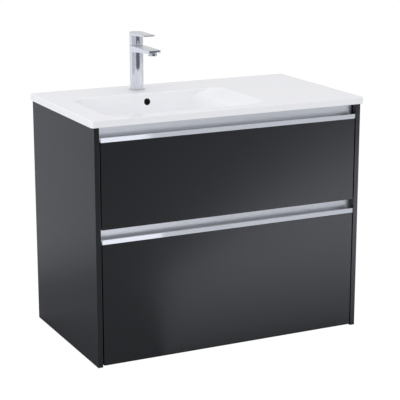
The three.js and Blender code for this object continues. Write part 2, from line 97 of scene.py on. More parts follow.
def join_shells(*shells):
    """One (points, faces) from several."""
    points, faces = [], []
    for more_points, more_faces in shells:
        start = len(points)
        points += list(more_points)
        faces += [[i + start for i in face] for face in more_faces]
    return points, faces


def skin(rings, looped=False):
    """(points, faces) of quads through rings that have the same number of points. Its ends are closed,
    or joined to each other when it is looped."""
    count = len(rings[0])
    points = [p for ring in rings for p in ring]
    faces = []
    for k in range(len(rings) - (0 if looped else 1)):
        low, high = k * count, ((k + 1) % len(rings)) * count
        for i in range(count):
            j = (i + 1) % count
            faces.append([low + i, low + j, high + j, high + i])
    if not looped:
        faces.append(list(range(count))[::-1])
        faces.append([(len(rings) - 1) * count + i for i in range(count)])
    return points, faces


def turned(x, y, profile, sides=96, looped=False):
    """A body turned about a vertical axis from (radius, z) points in metres."""
    rings = []
    for radius, z in profile:
        rings.append(
            [
                (x + radius * math.cos(a), y + radius * math.sin(a), z)
                for a in (2 * math.pi * i / sides for i in range(sides))
            ]
        )
    return skin(rings, looped=looped)


def laid_along_y(shell, x, z):
    """A body made about the vertical axis through the origin, laid over onto an axis along Y."""
    points, faces = shell
    return [(x + px, pz, z + py) for px, py, pz in points], faces


def turned_along_y(x, z, profile, sides=64, looped=False):
    """A body turned about a horizontal axis along Y from (radius, y) points in metres."""
    return laid_along_y(turned(0, 0, profile, sides, looped), x, z)


def grooved(x, y, profile, groove, sides=240, looped=False):
    """A body turned about a vertical axis from (radius, z, depth) points, with grooves or flats cut into
    it round the axis: groove gives the share of the depth at an angle."""
    rings = []
    for radius, z, depth in profile:
        ring = []
        for i in range(sides):
            a = 2 * math.pi * i / sides
            cut_radius = radius - depth * groove(a)
            ring.append((x + cut_radius * math.cos(a), y + cut_radius * math.sin(a), z))
        rings.append(ring)
    return skin(rings, looped=looped)


def chamfered(profile, ease):
    """A closed profile with its corners cut back by a small chamfer."""
    out = []
    for k, corner in enumerate(profile):
        for other in (profile[k - 1], profile[(k + 1) % len(profile)]):
            share = min(ease / math.dist(corner, other), 0.4)
            out.append(tuple(c + (o - c) * share for c, o in zip(corner, other)))
    return out


def thread(radius, foot, turns, pitch, depth):
    """The profile of a screw thread's ridges, from the foot up."""
    ridge = [(0, 0), (depth, 0.35 * pitch), (depth, 0.5 * pitch), (0, 0.85 * pitch)]
    return [(radius - deep, foot + turn * pitch + rise) for turn in range(turns) for deep, rise in ridge]


def rounded_rectangle(x0, x1, y0, y1, radius, z, steps=18):
    """The points of a round-cornered rectangle at one height, anticlockwise from the right."""
    corners = ((x1, y1, 0), (x0, y1, 1), (x0, y0, 2), (x1, y0, 3))
    inward = ((-1, -1), (1, -1), (1, 1), (-1, 1))
    ring = []
    for (cx, cy, quarter), (sx, sy) in zip(corners, inward):
        for i in range(steps + 1):
            a = math.pi / 2 * (quarter + i / steps)
            x = cx + sx * radius + radius * math.cos(a)
            y = cy + sy * radius + radius * math.sin(a)
            ring.append((x, y, z))
    return ring


def smooth_rows(rows, per_span):
    """Catmull-Rom points through rows of numbers, kept between neighbouring rows."""
    out = []
    last = len(rows) - 1
    for k in range(last):
        before, a, b, after = rows[max(k - 1, 0)], rows[k], rows[k + 1], rows[min(k + 2, last)]
        for i in range(per_span):
            t = i / per_span
            row = []
            for p0, p1, p2, p3 in zip(before, a, b, after):
                value = 0.5 * (
                    2 * p1
                    + (p2 - p0) * t
                    + (2 * p0 - 5 * p1 + 4 * p2 - p3) * t**2
                    + (3 * p1 - p0 - 3 * p2 + p3) * t**3
                )
                row.append(min(max(value, min(p1, p2)), max(p1, p2)))
            out.append(tuple(row))
    return out + [tuple(rows[-1])]


def hollowed(piece, *cutters):
    """The piece with other solids cut out of it for good."""
    tools = []
    for points, faces in cutters:
        mesh = bpy.data.meshes.new("cutter")
        mesh.from_pydata([tuple(p) for p in points], [], faces)
        made = bmesh.new()
        made.from_mesh(mesh)
        bmesh.ops.recalc_face_normals(made, faces=made.faces)
        made.to_mesh(mesh)
        made.free()
        tool = bpy.data.objects.new("cutter", mesh)
        bpy.context.scene.collection.objects.link(tool)
        tools.append(tool)
        cut = piece.modifiers.new("cut", "BOOLEAN")
        cut.operation, cut.solver, cut.object = "DIFFERENCE", "EXACT", tool
    bpy.context.view_layer.update()
    result = bpy.data.meshes.new_from_object(piece.evaluated_get(bpy.context.evaluated_depsgraph_get()))
    piece.modifiers.clear()
    piece.data = result
    for tool in tools:
        bpy.data.objects.remove(tool)


# ------------------------------------------------------------------ materials


def linear(hex_colour):
    """An sRGB hex colour as linear RGBA."""
    channels = [int(hex_colour[i : i + 2], 16) / 255 for i in (1, 3, 5)]
    return (*[c / 12.92 if c <= 0.04045 else ((c + 0.055) / 1.055) ** 2.4 for c in channels], 1.0)


def add(tree, kind, settings=None, values=None, links=None):
    """Adds a node: settings are its own properties, values its sockets' numbers, links their sources."""
    made = tree.nodes.new(kind)
    for key, value in (settings or {}).items():
        setattr(made, key, value)
    for key, value in (values or {}).items():
        made.inputs[key].default_value = value
    for key, source in (links or {}).items():
        tree.links.new(source, made.inputs[key])
    return made


def material(name):
    """An empty material: (material, its node tree, its object-space coordinates in metres)."""
    made = bpy.data.materials.new(name)
    made.use_nodes = True
    tree = made.node_tree
    tree.nodes.clear()
    place = add(tree, "ShaderNodeTexCoord")
    return made, tree, place.outputs["Object"]


def surface(tree, values, links):
    """Ends a material in a Principled shader."""
    shader = add(tree, "ShaderNodeBsdfPrincipled", values=values, links=links)
    add(tree, "ShaderNodeOutputMaterial", links={"Surface": shader.outputs["BSDF"]})
    return shader


def waves_per_metre(size_mm):
    """The noise scale that gives features of a size in millimetres."""
    return 1000 / size_mm


def anthracite_lacquer():
    """Polyurethane lacquer sprayed on MDF and left off the gun: almost black with a blue cast, a satin
    gloss that mirrors the room softly, and a faint orange peel."""
    made, tree, place = material("anthracite lacquer on MDF")
    peel = add(
        tree,
        "ShaderNodeTexNoise",
        values={"Scale": waves_per_metre(2.5), "Detail": 2, "Roughness": 0.5},
        links={"Vector": place},
    )
    bump = add(
        tree,
        "ShaderNodeBump",
        values={"Strength": 0.03, "Distance": 0.02 * MM},
        links={"Height": peel.outputs["Fac"]},
    )
    tone = add(
        tree,
        "ShaderNodeMix",
        settings={"data_type": "RGBA"},
        values={"A": linear("#121317"), "B": linear("#151619")},
        links={"Factor": peel.outputs["Fac"]},
    )
    surface(
        tree,
        {"Roughness": 0.24, "IOR": 1.42},
        {"Base Color": tone.outputs["Result"], "Normal": bump.outputs["Normal"]},
    )
    return made


def grey_melamine():
    """Melamine-faced board: printed paper pressed under resin with a linen grain, matt and even. The
    linen's threads are 0.5 mm apart on the real board and drawn 3 mm apart here, so that they show."""
    made, tree, place = material("grey linen melamine board")
    height = None
    for along in range(3):
        stretch = [1.0, 1.0, 1.0]
        stretch[along] = 0.03
        lie = add(tree, "ShaderNodeMapping", values={"Scale": stretch}, links={"Vector": place})
        threads = add(
            tree,
            "ShaderNodeTexNoise",
            values={"Scale": waves_per_metre(3), "Detail": 2},
            links={"Vector": lie.outputs["Vector"]},
        )
        if height is None:
            height = threads.outputs["Fac"]
        else:
            both = add(
                tree,
                "ShaderNodeMath",
                settings={"operation": "ADD"},
                links={0: height, 1: threads.outputs["Fac"]},
            )
            height = both.outputs["Value"]
    weave = add(
        tree,
        "ShaderNodeMapRange",
        values={"From Min": 1.2, "From Max": 1.8},
        links={"Value": height},
    )
    tone = add(
        tree,
        "ShaderNodeMix",
        settings={"data_type": "RGBA"},
        values={"A": linear("#7e8083"), "B": linear("#999b9e")},
        links={"Factor": weave.outputs["Result"]},
    )
    bump = add(
        tree,
        "ShaderNodeBump",
        values={"Strength": 0.3, "Distance": 0.1 * MM},
        links={"Height": weave.outputs["Result"]},
    )
    surface(
        tree,
        {"Roughness": 0.5, "IOR": 1.5},
        {"Base Color": tone.outputs["Result"], "Normal": bump.outputs["Normal"]},
    )
    return made


def vitreous_china():
    """Slip-cast vitreous china under a fired white glaze: a cool white body with a wet, glassy shine that
    ripples very slightly."""
    made, tree, place = material("white glazed vitreous china")
    ripple = add(
        tree,
        "ShaderNodeTexNoise",
        values={"Scale": waves_per_metre(40), "Detail": 1},
        links={"Vector": place},
    )
    tone = add(
        tree,
        "ShaderNodeMix",
        settings={"data_type": "RGBA"},
        values={"A": linear("#f6f7f9"), "B": linear("#f8f8fa")},
        links={"Factor": ripple.outputs["Fac"]},
    )
    bump = add(
        tree,
        "ShaderNodeBump",
        values={"Strength": 0.05, "Distance": 0.1 * MM},
        links={"Height": ripple.outputs["Fac"]},
    )
    surface(
        tree,
        {"Roughness": 0.09, "IOR": 1.52},
        {"Base Color": tone.outputs["Result"], "Normal": bump.outputs["Normal"]},
    )
    return made


def anodised_aluminium(name, smoothest, roughest):
    """Extruded aluminium, clear anodised: silver with die lines along its length, which are finer on the
    real one and drawn 0.8 mm apart so that they show. The polished lip is close to a mirror, and the
    etched trough behind it only gleams."""
    made, tree, place = material(name)
    stretch = add(tree, "ShaderNodeMapping", values={"Scale": (0.02, 1, 1)}, links={"Vector": place})
    lines = add(
        tree,
        "ShaderNodeTexNoise",
        values={"Scale": waves_per_metre(0.8), "Detail": 2},
        links={"Vector": stretch.outputs["Vector"]},
    )
    gleam = add(
        tree,
        "ShaderNodeMapRange",
        values={"To Min": smoothest, "To Max": roughest},
        links={"Value": lines.outputs["Fac"]},
    )
    surface(
        tree,
        {"Base Color": linear("#eef0f4"), "Metallic": 1},
        {"Roughness": gleam.outputs["Result"]},
    )
    return made


def chrome_plate():
    """Brass castings polished and chromium plated: a cool mirror with the faintest polishing haze."""
    made, tree, place = material("polished chromium plate")
    haze = add(
        tree,
        "ShaderNodeTexNoise",
        values={"Scale": waves_per_metre(6), "Detail": 3},
        links={"Vector": place},
    )
    gleam = add(
        tree,
        "ShaderNodeMapRange",
        values={"To Min": 0.04, "To Max": 0.08},
        links={"Value": haze.outputs["Fac"]},
    )
    surface(
        tree,
        {"Base Color": linear("#e6e8ed"), "Metallic": 1},
        {"Roughness": gleam.outputs["Result"]},
    )
    return made


def zinc_plated_steel():
    """Roll-formed steel strip, zinc plated and passivated: a dull blue-grey with soft patches."""
    made, tree, place = material("zinc-plated steel")
    patches = add(
        tree,
        "ShaderNodeTexNoise",
        values={"Scale": waves_per_metre(9), "Detail": 4},
        links={"Vector": place},
    )
    tone = add(
        tree,
        "ShaderNodeMix",
        settings={"data_type": "RGBA"},
        values={"A": linear("#a9adb3"), "B": linear("#bcc0c4")},
        links={"Factor": patches.outputs["Fac"]},
    )
    gleam = add(
        tree,
        "ShaderNodeMapRange",
        values={"To Min": 0.3, "To Max": 0.42},
        links={"Value": patches.outputs["Fac"]},
    )
    surface(
        tree,
        {"Metallic": 1},
        {"Base Color": tone.outputs["Result"], "Roughness": gleam.outputs["Result"]},
    )
    return made


def white_polypropylene():
    """Moulded polypropylene from a spark-eroded tool: milky white with a matt grain, drawn 0.7 mm across,
    coarser than the real one, so that it shows."""
    made, tree, place = material("moulded white polypropylene")
    grain = add(
        tree,
        "ShaderNodeTexNoise",
        values={"Scale": waves_per_metre(0.7), "Detail": 2},
        links={"Vector": place},
    )
    tone = add(
        tree,
        "ShaderNodeMix",
        settings={"data_type": "RGBA"},
        values={"A": linear("#e4e5e6"), "B": linear("#ececec")},
        links={"Factor": grain.outputs["Fac"]},
    )
    bump = add(
        tree,
        "ShaderNodeBump",
        values={"Strength": 0.2, "Distance": 0.05 * MM},
        links={"Height": grain.outputs["Fac"]},
    )
    surface(
        tree,
        {"Roughness": 0.42, "IOR": 1.49},
        {"Base Color": tone.outputs["Result"], "Normal": bump.outputs["Normal"]},
    )
    return made


def black_rubber():
    """Moulded EPDM rubber: soft black and matt, with a slight grain drawn coarser than the real one."""
    made, tree, place = material("black EPDM rubber")
    grain = add(
        tree,
        "ShaderNodeTexNoise",
        values={"Scale": waves_per_metre(0.9), "Detail": 2},
        links={"Vector": place},
    )
    tone = add(
        tree,
        "ShaderNodeMix",
        settings={"data_type": "RGBA"},
        values={"A": linear("#050505"), "B": linear("#0b0b0c")},
        links={"Factor": grain.outputs["Fac"]},
    )
    surface(
        tree,
        {"Roughness": 0.8, "IOR": 1.5, "Specular IOR Level": 0.2},
        {"Base Color": tone.outputs["Result"]},
    )
    return made


finishes = {
    "anthracite_lacquer": anthracite_lacquer(),
    "grey_melamine": grey_melamine(),
    "white_ceramic": vitreous_china(),
    "anodised_aluminium": anodised_aluminium("etched anodised aluminium", 0.3, 0.36),
    "polished_aluminium": anodised_aluminium("polished anodised aluminium", 0.05, 0.08),
    "chrome_plate": chrome_plate(),
    "zinc_steel": zinc_plated_steel(),
    "white_plastic": white_polypropylene(),
    "black_rubber": black_rubber(),
}

# ------------------------------------------------------------------ camera

camera = bpy.data.objects.new("camera", bpy.data.cameras.new("camera"))
bpy.context.scene.collection.objects.link(camera)
bpy.context.scene.camera = camera
camera.data.sensor_width = 36
camera.data.lens = 124.2
camera.data.clip_end = 60
camera.location = (-1.643, -3.371, 1.303)
CAMERA_YAW = math.radians(26.17)
CAMERA_PITCH = math.radians(14.15)
sight = Vector(
    (
        math.sin(CAMERA_YAW) * math.cos(CAMERA_PITCH),
        math.cos(CAMERA_YAW) * math.cos(CAMERA_PITCH),
        -math.sin(CAMERA_PITCH),
    )
)
camera.rotation_mode = "QUATERNION"
camera.rotation_quaternion = sight.to_track_quat("-Z", "Y")

# ------------------------------------------------------------------ washbasin

basin_low, basin_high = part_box("basin")
DECK = basin_high.z
SLAB = 19 * MM  # height of the slab's edge
SLAB_UNDER = DECK - SLAB
SLAB_CORNER = 9 * MM
SLAB_EDGE_ROUND = 2.2 * MM
SLAB_FOOT_ROUND = 1.4 * MM
BOWL_LENGTH = 464 * MM
BOWL_LEFT = basin_low.x + 62 * MM
BOWL_RIGHT = BOWL_LEFT + BOWL_LENGTH
BOWL_FRONT = basin_low.y + 36 * MM
BOWL_REAR = basin_high.y - 134 * MM
BOWL_WALL = 11 * MM
SIDE_WALL = BOWL_WALL * 0.85
FRONT_SHARE = 0.8  # how far the front and rear walls lean in, as a share of the left one
BOWL_DROP = 113  # this and the two below are in millimetres, as the rows are
BEACH = 52  # the shallow slope at the bowl's right end
BEACH_DROP = 15
BOWL_CENTRE = (BOWL_LEFT + BOWL_RIGHT) / 2  # the tap, the overflow and the waste stand on it
WASTE_Y = BOWL_REAR - 150 * MM
WASTE_HOLE = 23 * MM
TAP_Y = basin_high.y - 69.5 * MM
TAP_HOLE = 17.5 * MM
OVERFLOW_Z = DECK - 25 * MM
OVERFLOW_HOLE = 9.5 * MM
GLAZE_SHARP_DEGREES = 40

# Down the bowl's inside, in millimetres: depth, inset of the left wall (the front and rear walls share
# it), inset of the right wall, corner radius.
bowl_rows = [
    (0, 0, 0, 40),
    (0.4, 1.0, 2.0, 40),
    (1.6, 2.4, 7, 40),
    (4.0, 3.6, BEACH * 0.32, 40),
    (BEACH_DROP * 0.55, 4.6, BEACH * 0.62, 40),
    (BEACH_DROP, 6, BEACH, 40),
    (BEACH_DROP + 5, 7.2, BEACH + 7, 41),
    (BEACH_DROP + 13, 9.5, BEACH + 12, 42),
    (BOWL_DROP * 0.55, 17, BEACH + 22, 46),
    (BOWL_DROP * 0.82, 30, BEACH + 36, 46),
    (BOWL_DROP * 0.95, 48, BEACH + 54, 40),
    (BOWL_DROP - 1.5, 74, BEACH + 78, 36),
    (BOWL_DROP, 88, BEACH + 92, 34),
]


def bowl_ring(row, grow=0.0, lower=0.0):
    """One level of the bowl, grown and lowered where it is the outside of the wall."""
    drop, inset, right_inset, radius = (value * MM for value in row)
    return rounded_rectangle(
        BOWL_LEFT + inset - grow,
        BOWL_RIGHT - right_inset + grow,
        BOWL_FRONT + inset * FRONT_SHARE - grow,
        BOWL_REAR - inset * FRONT_SHARE + grow,
        radius + grow,
        DECK - drop - lower,
    )


def slab_ring(inset, z):
    """The slab's outline at one height."""
    return rounded_rectangle(
        basin_low.x + inset,
        basin_high.x - inset,
        basin_low.y + inset,
        basin_high.y - inset,
        SLAB_CORNER - inset,
        z,
    )


def waste_hole_ring(z):
    """The round waste hole, with as many points as the bowl's rings have."""
    left, right = BOWL_CENTRE - WASTE_HOLE, BOWL_CENTRE + WASTE_HOLE
    return rounded_rectangle(left, right, WASTE_Y - WASTE_HOLE, WASTE_Y + WASTE_HOLE, WASTE_HOLE, z)


def washbasin():
    """The basin as one skin: up the inside of the bowl, over the deck and the slab's edge, and back
    underneath."""
    inside = smooth_rows(bowl_rows, 5)
    rings = [waste_hole_ring(DECK - BOWL_DROP * MM)]
    rings += [bowl_ring(row) for row in reversed(inside)]
    quarter = [math.pi / 2 * i / 5 for i in range(6)]
    for a in quarter:
        inset, drop = SLAB_EDGE_ROUND * (1 - math.sin(a)), SLAB_EDGE_ROUND * (1 - math.cos(a))
        rings.append(slab_ring(inset, DECK - drop))
    for a in quarter:
        inset, rise = SLAB_FOOT_ROUND * (1 - math.cos(a)), SLAB_FOOT_ROUND * (1 - math.sin(a))
        rings.append(slab_ring(inset, SLAB_UNDER + rise))
    outside = [row for row in inside if row[0] > BEACH_DROP + 8]
    outside = [bowl_ring(row, SIDE_WALL, BOWL_WALL) for row in outside]
    rings.append([(x, y, SLAB_UNDER) for x, y, z in outside[0]])
    rings += [ring for ring in outside if ring[0][2] < SLAB_UNDER]
    rings.append(waste_hole_ring(basin_low.z))
    return skin(rings, looped=True)


def basin_top():
    """The basin with its tap hole and overflow hole cut through."""
    slot = "white_ceramic"
    china = finishes[slot]
    basin = shape("basin_top", washbasin(), china, "cabinet", ["basin"], GLAZE_SHARP_DEGREES)
    tap_hole = [(TAP_HOLE, SLAB_UNDER - 5 * MM), (TAP_HOLE, DECK + 5 * MM)]
    overflow = [(OVERFLOW_HOLE, BOWL_REAR - 25 * MM), (OVERFLOW_HOLE, BOWL_REAR + 1 * MM)]
    hollowed(
        basin,
        turned(BOWL_CENTRE, TAP_Y, tap_hole),
        turned_along_y(BOWL_CENTRE, OVERFLOW_Z, overflow),
    )
    soften(basin, GLAZE_SHARP_DEGREES)


def overflow_throat():
    """A near-black tube just inside the overflow hole: painted shade that stands for the darkness deep in
    the hole, in the black rubber finish.
    """
    radius, slot = OVERFLOW_HOLE - 0.1 * MM, "black_rubber"
    throat = [(radius, BOWL_REAR - 6 * MM), (radius, BOWL_REAR + 0.8 * MM)]
    # painted shade: this near-black tube makes the inside of the overflow hole read as black
    made = turned_along_y(BOWL_CENTRE, OVERFLOW_Z, throat, 48)
    shape("overflow_throat", made, finishes[slot], "cabinet")


basin_top()
overflow_throat()

# ------------------------------------------------------------------ mixer tap

CHROME, STEEL, PLASTIC, RUBBER = "chrome_plate", "zinc_steel", "white_plastic", "black_rubber"
TAP_RADIUS = 19 * MM
SHANK_RADIUS = 16 * MM
SPOUT_ROOT, SPOUT_TIP = 17 * MM, 9 * MM
LEVER_ROOT, LEVER_TIP = 9 * MM, 3.5 * MM
tap_low, tap_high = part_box("tap_body")
lever_low, lever_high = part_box("tap_lever")


def plate(half_width, reach, corner, top, thickness_at, roll):
    """A flat arm as wide as the tap at the rear: straight sides run forward from the tap's round to a
    square tip. thickness_at gives its thickness at a distance in front of the tap's axis. Its top edge is
    rolled over."""
    outline = []
    turn_in = math.acos(half_width / TAP_RADIUS)
    for i in range(41):  # round the rear, from the right side to the left
        a = -turn_in + (math.pi + 2 * turn_in) * i / 40
        outline.append((TAP_RADIUS * math.cos(a), TAP_RADIUS * math.sin(a)))
    start = -TAP_RADIUS * math.sin(turn_in)
    end = -reach + corner
    side = [start + (end - start) * i / 16 for i in range(1, 16)]
    tip = [math.pi / 2 * i / 6 for i in range(7)]
    outline += [(-half_width, y) for y in side]
    outline += [(-half_width + corner * (1 - math.cos(a)), end - corner * math.sin(a)) for a in tip]
    across = [(-half_width + corner) * (1 - 2 * i / 10) for i in range(1, 10)]
    outline += [(x, -reach) for x in across]
    outline += [(half_width - corner * (1 - math.sin(a)), end - corner * math.cos(a)) for a in tip]
    outline += [(half_width, y) for y in reversed(side)]

    def ring(inset, drop, foot=False):
        pulled = []
        for x, y in outline:
            share = 1 - inset / half_width
            forward = max(-y, 0)
            pulled_y = y * share if y > end else y + inset
            z = top - (thickness_at(forward) if foot else drop)
            pulled.append((BOWL_CENTRE + x * share, TAP_Y + pulled_y, z))
        return pulled

    quarter = [math.pi / 2 * i / 5 for i in range(6)]
    rings = [ring(roll * (1 - math.sin(a)), roll * (1 - math.cos(a))) for a in quarter]
    return skin(rings + [ring(0, 0, True), ring(0.4 * MM, 0, True)])


def tapered(forward, start, end, root, tip):
    """A thickness that goes from root to tip between two distances in front of the tap's axis."""
    return root + (tip - root) * min(max((forward - start) / (end - start), 0), 1)


def spout_thickness(forward):
    """Thick at the root, thin at the tip, with the underside of the tip cut back at a slant."""
    end = TAP_Y - tap_low.y - 4 * MM
    return tapered(forward, 12 * MM, end, SPOUT_ROOT, SPOUT_TIP) - max(forward - end, 0)


def lever_thickness(forward):
    """Thick over the hub and thin at the tip."""
    return tapered(forward, 12 * MM, TAP_Y - lever_low.y - 1 * MM, LEVER_ROOT, LEVER_TIP)


def tap_body_and_spout():
    """Column, threaded shank, spout with its round outlet, and the low neck that the hub turns on."""
    foot, head = tap_high.z - SPOUT_ROOT, tap_high.z
    tucked = TAP_RADIUS - 0.6 * MM  # where the column goes up inside the spout
    column = [(TAP_RADIUS, DECK + GAP), (TAP_RADIUS, foot)]
    column += [(tucked, foot + 0.05 * MM), (tucked, foot + 3 * MM)]
    shank = [(SHANK_RADIUS, tap_low.z)]
    shank += thread(SHANK_RADIUS, tap_low.z + 2 * MM, 24, 1.5 * MM, 0.7 * MM)
    shank += [(SHANK_RADIUS, DECK + 1 * MM)]
    inner, outer = TAP_RADIUS - 2.6 * MM, TAP_RADIUS - 1.9 * MM  # inside the pivot of the hub
    neck = [(inner, head - 1 * MM), (outer, head - 1 * MM)]
    neck += [(outer, head + 0.7 * MM), (inner, head + 0.7 * MM)]
    low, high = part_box("tap_aerator")
    radius, y = (high.x - low.x) / 2, (low.y + high.y) / 2
    outlet = [(radius - 0.6 * MM, high.z + GAP), (radius, high.z + 0.9 * MM)]
    outlet += [(radius, head - SPOUT_TIP), (radius - 1 * MM, head - SPOUT_TIP + 1 * MM)]
    made = join_shells(
        turned(BOWL_CENTRE, TAP_Y, column, 128),
        turned(BOWL_CENTRE, TAP_Y, shank, 64),
        turned(BOWL_CENTRE, TAP_Y, neck, 128, looped=True),
        turned(BOWL_CENTRE, y, outlet, 64),
        plate(18.5 * MM, TAP_Y - tap_low.y, 4 * MM, head, spout_thickness, 1.2 * MM),
    )
    shape("tap_body_and_spout", made, finishes[CHROME], "cabinet", ["tap_body"])


def tap_lever_handle():
    """The lever: a hollow hub over the cartridge with a flat blade along its top."""
    foot, head = lever_low.z, lever_high.z - LEVER_ROOT
    bore, tucked, close = TAP_RADIUS - 3 * MM, TAP_RADIUS - 0.6 * MM, 1 * MM
    hub = [(bore, head), (bore, foot + 0.4 * MM), (bore + 0.4 * MM, foot), (TAP_RADIUS - 0.4 * MM, foot)]
    hub += [(TAP_RADIUS, foot + 0.4 * MM), (TAP_RADIUS, head), (tucked, head + 0.05 * MM)]
    hub += [(tucked, head + 2 * MM), (close, head + 2 * MM), (close, head)]
    made = join_shells(
        turned(BOWL_CENTRE, TAP_Y, hub, 128, looped=True),
        plate(17.5 * MM, TAP_Y - lever_low.y, 3 * MM, lever_high.z, lever_thickness, 0.8 * MM),
    )
    shape("tap_lever_handle", made, finishes[CHROME], "tap_handle", ["tap_lever"])


def tap_base():
    """The ring round the foot of the column, rounded over its edge."""
    low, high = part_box("tap_base_ring")
    radius, bore = (high.x - low.x) / 2, TAP_RADIUS + GAP
    section = [(bore, low.z), (radius - 0.3 * MM, low.z), (radius, low.z + 0.3 * MM)]
    section += [(radius - 0.2 * MM, low.z + 1.0 * MM), (radius - 1.4 * MM, low.z + 2.2 * MM)]
    section += [(radius - 3.0 * MM, high.z - 0.3 * MM), (bore, high.z)]
    made = turned(BOWL_CENTRE, TAP_Y, section, 128, looped=True)
    shape("tap_base", made, finishes[CHROME], "cabinet", ["tap_base_ring"])


def block(low, high):
    """(points, faces) of an upright box."""
    (x0, y0, z0), (x1, y1, z1) = low, high
    return skin([[(x0, y0, z), (x1, y0, z), (x1, y1, z), (x0, y1, z)] for z in (z0, z1)])


def aerator():
    """The chromed collar at the spout's outlet, with the ribs of the insert that mixes in the air."""
    low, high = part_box("tap_aerator")
    x, y = (low.x + high.x) / 2, (low.y + high.y) / 2
    radius = (high.x - low.x) / 2
    mouth = radius - 2.2 * MM
    collar = [
        (mouth, low.z + 1.6 * MM),
        (mouth, low.z + 0.3 * MM),
        (mouth + 0.3 * MM, low.z),
        (radius - 0.7 * MM, low.z),
        (radius, low.z + 0.7 * MM),
        (radius, high.z - 0.1 * MM),
        (radius - 0.1 * MM, high.z),
        (1 * MM, high.z),
        (1 * MM, low.z + 1.6 * MM),
    ]
    made = turned(x, y, collar, 64, looped=True)
    shape("tap_aerator_collar", made, finishes[CHROME], "cabinet", ["tap_aerator"])
    ribs = []
    pitch, half_rib = mouth / 5, 0.25 * MM
    foot, head = low.z + 0.5 * MM, low.z + 1.5 * MM
    for k in range(-4, 5):
        off = k * pitch
        half = math.sqrt(mouth**2 - off**2) - 0.2 * MM
        near, far = off - half_rib, off + half_rib
        ribs.append(block((x - half, y + near, foot), (x + half, y + far, head)))
        ribs.append(block((x + near, y - half, foot + 0.1 * MM), (x + far, y + half, head)))
    shape("tap_aerator_ribs", join_shells(*ribs), finishes[RUBBER], "cabinet")


tap_body_and_spout()
tap_lever_handle()
tap_base()
aerator()

# ------------------------------------------------------------------ tap fixings, waste and trap



def flats(count):
    """The groove that gives a nut its flats: nothing at the corners, full depth in the middle of each."""
    half = math.pi / count

    def groove(a):
        off_middle = (a - math.pi / 2) % (2 * half) - half
        return (1 - math.cos(half) / math.cos(off_middle)) / (1 - math.cos(half))

    return groove


def ribs(count):
    """Grooves between moulded finger ribs."""
    return lambda a: (0.5 - 0.5 * math.cos(count * a)) ** 2


def nut(name, node, bore, count, corner_cut):
    """A steel nut with flats, its corners cut back at both faces."""
    low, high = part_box(node)
    radius = (high.y - low.y) / 2
    depth = radius * (1 - math.cos(math.pi / count))
    profile = [
        (bore, low.z, 0),
        (radius - corner_cut, low.z, depth - corner_cut),
        (radius, low.z + corner_cut / 2, depth),
        (radius, high.z - corner_cut / 2, depth),
        (radius - corner_cut, high.z, depth - corner_cut),
        (bore, high.z, 0),
    ]
    x, y = (low.x + high.x) / 2, (low.y + high.y) / 2
    made = grooved(x, y, profile, flats(count), looped=True)
    shape(name, made, finishes[STEEL], "cabinet", [node])


def tap_fixings():
    """What holds the tap under the slab, and the cartridge that its lever turns and lifts."""
    bore = SHANK_RADIUS + GAP
    nut("tap_backnut", "tap_nut", bore, 6, 2 * MM)
    low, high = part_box("tap_washer")
    radius = (high.x - low.x) / 2
    section = [(bore, low.z), (radius, low.z), (radius, high.z), (bore, high.z)]
    washer = turned(BOWL_CENTRE, TAP_Y, chamfered(section, 0.7 * MM), looped=True)
    shape("tap_seal", washer, finishes[RUBBER], "cabinet", ["tap_washer"])
    low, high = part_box("tap_cartridge")
    steps = [(0.3, 0), (12.2, 0), (12.2, 1.6), (11.3, 1.9), (11.3, 7), (10.6, 7.4), (10.6, 8.6), (11, 9)]
    steps += [(10.6, 12), (6.4, 12.4), (6, 13), (6, 17.3), (5.6, 17.7), (0.3, 17.7)]
    core = [(radius * MM, low.z + height * MM) for radius, height in steps]
    made = turned(BOWL_CENTRE, TAP_Y, core, 64)
    shape("tap_cartridge_core", made, finishes[PLASTIC], "tap_cartridge_stem", ["tap_cartridge"])


def waste():
    """The flanged waste with its thread and nut, and the push plug with its crowned cap."""
    low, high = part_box("waste_body")
    flange, tube, bore = (high.x - low.x) / 2, 22 * MM, 18 * MM
    under = high.z - 2.5 * MM
    section = [(bore, low.z), (tube - 0.6 * MM, low.z), (tube, low.z + 0.6 * MM)]
    section += thread(tube, low.z + 2 * MM, 22, 2 * MM, 0.9 * MM)
    section += [(tube, under), (flange - 0.5 * MM, under), (flange, under + 0.5 * MM)]
    section += [(flange - 0.3 * MM, under + 1.5 * MM), (flange - 1 * MM, under + 2.2 * MM)]
    section += [(flange - 2 * MM, high.z), (bore + 1 * MM, high.z), (bore, high.z - 1 * MM)]
    made = turned(BOWL_CENTRE, WASTE_Y, section, looped=True)
    shape("waste_flange_and_tail", made, finishes[CHROME], "cabinet", ["waste_body"])
    nut("waste_backnut", "waste_nut", tube + GAP, 8, 1.5 * MM)

    low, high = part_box("waste_plug")
    cap, stem, foot = (high.x - low.x) / 2, 8 * MM, high.z - 5 * MM
    roll, roll_height, crown = 3 * MM, 2.1 * MM, 1.3 * MM
    flat = cap - roll
    section = [(AXIS, low.z), (stem - 0.6 * MM, low.z), (stem, low.z + 0.6 * MM)]
    section += [(stem, foot - 2 * MM), (stem + 1.5 * MM, foot)]
    section += [(cap - 0.5 * MM, foot), (cap, foot + 0.5 * MM)]
    shoulder = high.z - crown - roll_height
    for i in range(9):
        a = math.pi / 2 * i / 8
        section.append((flat + roll * math.cos(a), shoulder + roll_height * math.sin(a)))
    for i in range(1, 17):
        radius = max(flat * (1 - i / 16), AXIS)
        section.append((radius, high.z - crown * (radius / flat) ** 2))
    made = turned(BOWL_CENTRE, WASTE_Y, section)
    shape("waste_push_plug", made, finishes[CHROME], "waste_plug", ["waste_plug"])


